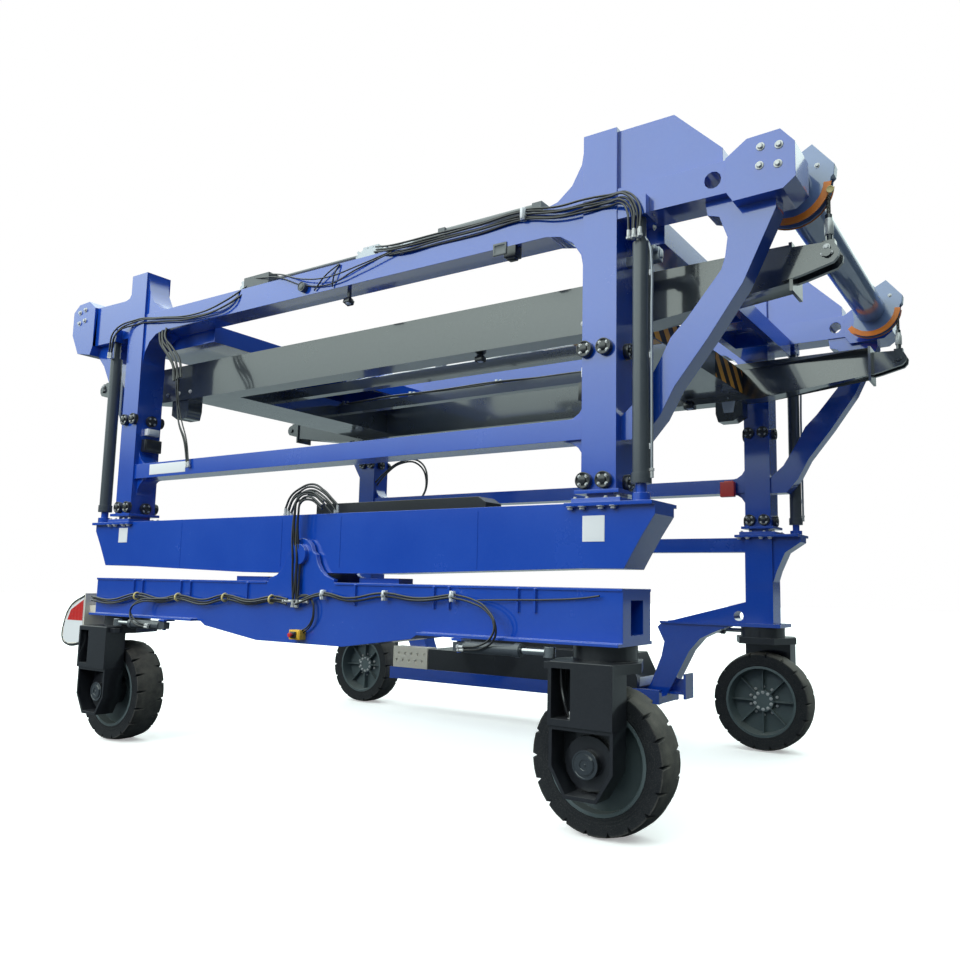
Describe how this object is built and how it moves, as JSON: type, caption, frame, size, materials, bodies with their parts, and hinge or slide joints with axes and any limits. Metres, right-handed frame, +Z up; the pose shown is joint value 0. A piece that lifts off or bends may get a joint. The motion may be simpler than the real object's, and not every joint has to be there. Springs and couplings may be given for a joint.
{
  "type": "straddle carrier",
  "caption": "Wheeled straddle carrier with steered wheels, a rocking bogie, a telescoping lifting frame and a rope-hung spreader.",
  "frame": {"origin": "on the ground, at the middle of the carrier's whole length and width", "axes": "+X along the carrier towards the end with the taller braces, +Y towards the side with the power pack, +Z up"},
  "size_m": [9.4406, 5.01, 5.52],
  "materials": {
    "blue_paint": "glossy blue enamel",
    "black_paint": "satin black enamel",
    "spreader_paint": "satin dark slate enamel",
    "tyre_rubber": "matt black rubber",
    "rim_paint": "satin grey green enamel",
    "chrome": "polished piston rod",
    "steel_rope": "greased wire rope",
    "grey_paint": "satin grey enamel",
    "light_paint": "satin off-white enamel",
    "red_lens": "glossy red lens"
  },
  "bodies": {
    "near_base": {"near_base_beam": "blue_paint", "cable_tray": "black_paint"},
    "bogie": {"near_bogie": "blue_paint", "corner_guard": "light_paint", "steer_anchor_near_left": "blue_paint", "steer_anchor_near_right": "blue_paint"},
    "upper_frame": {"side_frame_near": "blue_paint", "side_frame_far": "blue_paint", "cross_tie_left": "blue_paint", "cross_tie_right": "blue_paint", "top_cylinder_near": "grey_paint", "top_cylinder_far": "grey_paint", "tail_lamp": "red_lens", "lift_barrel_near_left": "black_paint", "lift_barrel_near_right": "black_paint", "lift_barrel_far_left": "black_paint", "lift_barrel_far_right": "black_paint", "rope_near_left": "steel_rope", "rope_near_right": "steel_rope", "rope_far_left": "steel_rope", "rope_far_right": "steel_rope"},
    "far_base": {"far_base_frame": "blue_paint", "hanger_left": "blue_paint", "hanger_right": "blue_paint", "pack_tray": "blue_paint", "power_pack": "black_paint", "cooler_guard": "light_paint", "steer_anchor_far_left": "blue_paint", "steer_anchor_far_right": "blue_paint"},
    "spreader": {"spreader": "spreader_paint"},
    "torque_left": {"torque_tube_left": "blue_paint"},
    "torque_right": {"torque_tube_right": "blue_paint"},
    "fork_near_left": {"fork_near_left": "black_paint"},
    "wheel_near_left": {"tyre_near_left": "tyre_rubber", "rim_near_left": "rim_paint"},
    "steer_barrel_near_left": {"steer_barrel_near_left": "black_paint"},
    "steer_rod_near_left": {"steer_rod_near_left": "chrome"},
    "fork_near_right": {"fork_near_right": "black_paint"},
    "wheel_near_right": {"tyre_near_right": "tyre_rubber", "rim_near_right": "rim_paint"},
    "steer_barrel_near_right": {"steer_barrel_near_right": "black_paint"},
    "steer_rod_near_right": {"steer_rod_near_right": "chrome"},
    "fork_far_left": {"fork_far_left": "black_paint"},
    "wheel_far_left": {"tyre_far_left": "tyre_rubber", "rim_far_left": "rim_paint"},
    "steer_barrel_far_left": {"steer_barrel_far_left": "black_paint"},
    "steer_rod_far_left": {"steer_rod_far_left": "chrome"},
    "fork_far_right": {"fork_far_right": "black_paint"},
    "wheel_far_right": {"tyre_far_right": "tyre_rubber", "rim_far_right": "rim_paint"},
    "steer_barrel_far_right": {"steer_barrel_far_right": "black_paint"},
    "steer_rod_far_right": {"steer_rod_far_right": "chrome"}
  },
  "joints": [
    {"name": "bogie_rock", "type": "hinge", "parent": "near_base", "child": "bogie", "pos_m": [-0.11, -2.08, 2.1], "axis": [0, 1, 0], "range_deg": [-2, 2]},
    {"name": "near_lift", "type": "slide", "parent": "near_base", "child": "upper_frame", "axis": [0, 0, 1], "range_m": [0, 1.6]},
    {"name": "far_lift", "type": "slide", "parent": "upper_frame", "child": "far_base", "axis": [0, 0, -1], "range_m": [0, 1.6]},
    {"name": "spreader_lift", "type": "slide", "parent": "upper_frame", "child": "spreader", "axis": [0, 0, 1], "range_m": [0, 0.12], "deforming": ["rope_near_left", "rope_near_right", "rope_far_left", "rope_far_right"]},
    {"name": "torque_turn_left", "type": "hinge", "parent": "upper_frame", "child": "torque_left", "pos_m": [-4.37, 0, 5.14], "axis": [0, 1, 0], "range_deg": [0, 30]},
    {"name": "torque_turn_right", "type": "hinge", "parent": "upper_frame", "child": "torque_right", "pos_m": [4.37, 0, 4.93], "axis": [0, 1, 0], "range_deg": [-30, 0]},
    {"name": "steer_near_left", "type": "hinge", "parent": "bogie", "child": "fork_near_left", "pos_m": [-3.22, -2.08, 1.29], "axis": [0, 0, 1], "range_deg": [-30, 30]},
    {"name": "roll_near_left", "type": "hinge", "parent": "fork_near_left", "child": "wheel_near_left", "pos_m": [-3.22, -2.08, 0.56], "axis": [0, 1, 0], "continuous": true},
    {"name": "barrel_swing_near_left", "type": "hinge", "parent": "bogie", "child": "steer_barrel_near_left", "pos_m": [-2.06, -2.4, 1.345], "axis": [0, 0, 1], "range_deg": [-11.5, 11.5]},
    {"name": "rod_slide_near_left", "type": "slide", "parent": "steer_barrel_near_left", "child": "steer_rod_near_left", "axis": [-1, 0, 0], "range_m": [-0.17, 0.17]},
    {"name": "steer_near_right", "type": "hinge", "parent": "bogie", "child": "fork_near_right", "pos_m": [3, -2.08, 1.29], "axis": [0, 0, 1], "range_deg": [-30, 30]},
    {"name": "roll_near_right", "type": "hinge", "parent": "fork_near_right", "child": "wheel_near_right", "pos_m": [3, -2.08, 0.56], "axis": [0, 1, 0], "continuous": true},
    {"name": "barrel_swing_near_right", "type": "hinge", "parent": "bogie", "child": "steer_barrel_near_right", "pos_m": [1.84, -2.4, 1.345], "axis": [0, 0, 1], "range_deg": [-11.5, 11.5]},
    {"name": "rod_slide_near_right", "type": "slide", "parent": "steer_barrel_near_right", "child": "steer_rod_near_right", "axis": [1, 0, 0], "range_m": [-0.17, 0.17]},
    {"name": "steer_far_left", "type": "hinge", "parent": "far_base", "child": "fork_far_left", "pos_m": [-3.22, 2.08, 1.29], "axis": [0, 0, 1], "range_deg": [-30, 30]},
    {"name": "roll_far_left", "type": "hinge", "parent": "fork_far_left", "child": "wheel_far_left", "pos_m": [-3.22, 2.08, 0.56], "axis": [0, 1, 0], "continuous": true},
    {"name": "barrel_swing_far_left", "type": "hinge", "parent": "far_base", "child": "steer_barrel_far_left", "pos_m": [-2.06, 2.4, 1.345], "axis": [0, 0, 1], "range_deg": [-11.5, 11.5]},
    {"name": "rod_slide_far_left", "type": "slide", "parent": "steer_barrel_far_left", "child": "steer_rod_far_left", "axis": [-1, 0, 0], "range_m": [-0.17, 0.17]},
    {"name": "steer_far_right", "type": "hinge", "parent": "far_base", "child": "fork_far_right", "pos_m": [3, 2.08, 1.29], "axis": [0, 0, 1], "range_deg": [-30, 30]},
    {"name": "roll_far_right", "type": "hinge", "parent": "fork_far_right", "child": "wheel_far_right", "pos_m": [3, 2.08, 0.56], "axis": [0, 1, 0], "continuous": true},
    {"name": "barrel_swing_far_right", "type": "hinge", "parent": "far_base", "child": "steer_barrel_far_right", "pos_m": [1.84, 2.4, 1.345], "axis": [0, 0, 1], "range_deg": [-11.5, 11.5]},
    {"name": "rod_slide_far_right", "type": "slide", "parent": "steer_barrel_far_right", "child": "steer_rod_far_right", "axis": [1, 0, 0], "range_m": [-0.17, 0.17]}
  ],
  "couplings": [
    {"joint": "far_lift", "follows": "near_lift", "ratio": 1},
    {"joint": "torque_turn_left", "follows": "spreader_lift", "rad_per_m": 3.7509},
    {"joint": "torque_turn_right", "follows": "spreader_lift", "rad_per_m": -3.7509},
    {"joint": "barrel_swing_near_left", "follows": "steer_near_left", "ratio": -0.365},
    {"joint": "rod_slide_near_left", "follows": "steer_near_left", "m_per_rad": -0.32},
    {"joint": "barrel_swing_near_right", "follows": "steer_near_right", "ratio": -0.365},
    {"joint": "rod_slide_near_right", "follows": "steer_near_right", "m_per_rad": 0.32},
    {"joint": "barrel_swing_far_left", "follows": "steer_far_left", "ratio": -0.365},
    {"joint": "rod_slide_far_left", "follows": "steer_far_left", "m_per_rad": 0.32},
    {"joint": "barrel_swing_far_right", "follows": "steer_far_right", "ratio": -0.365},
    {"joint": "rod_slide_far_right", "follows": "steer_far_right", "m_per_rad": -0.32}
  ]
}
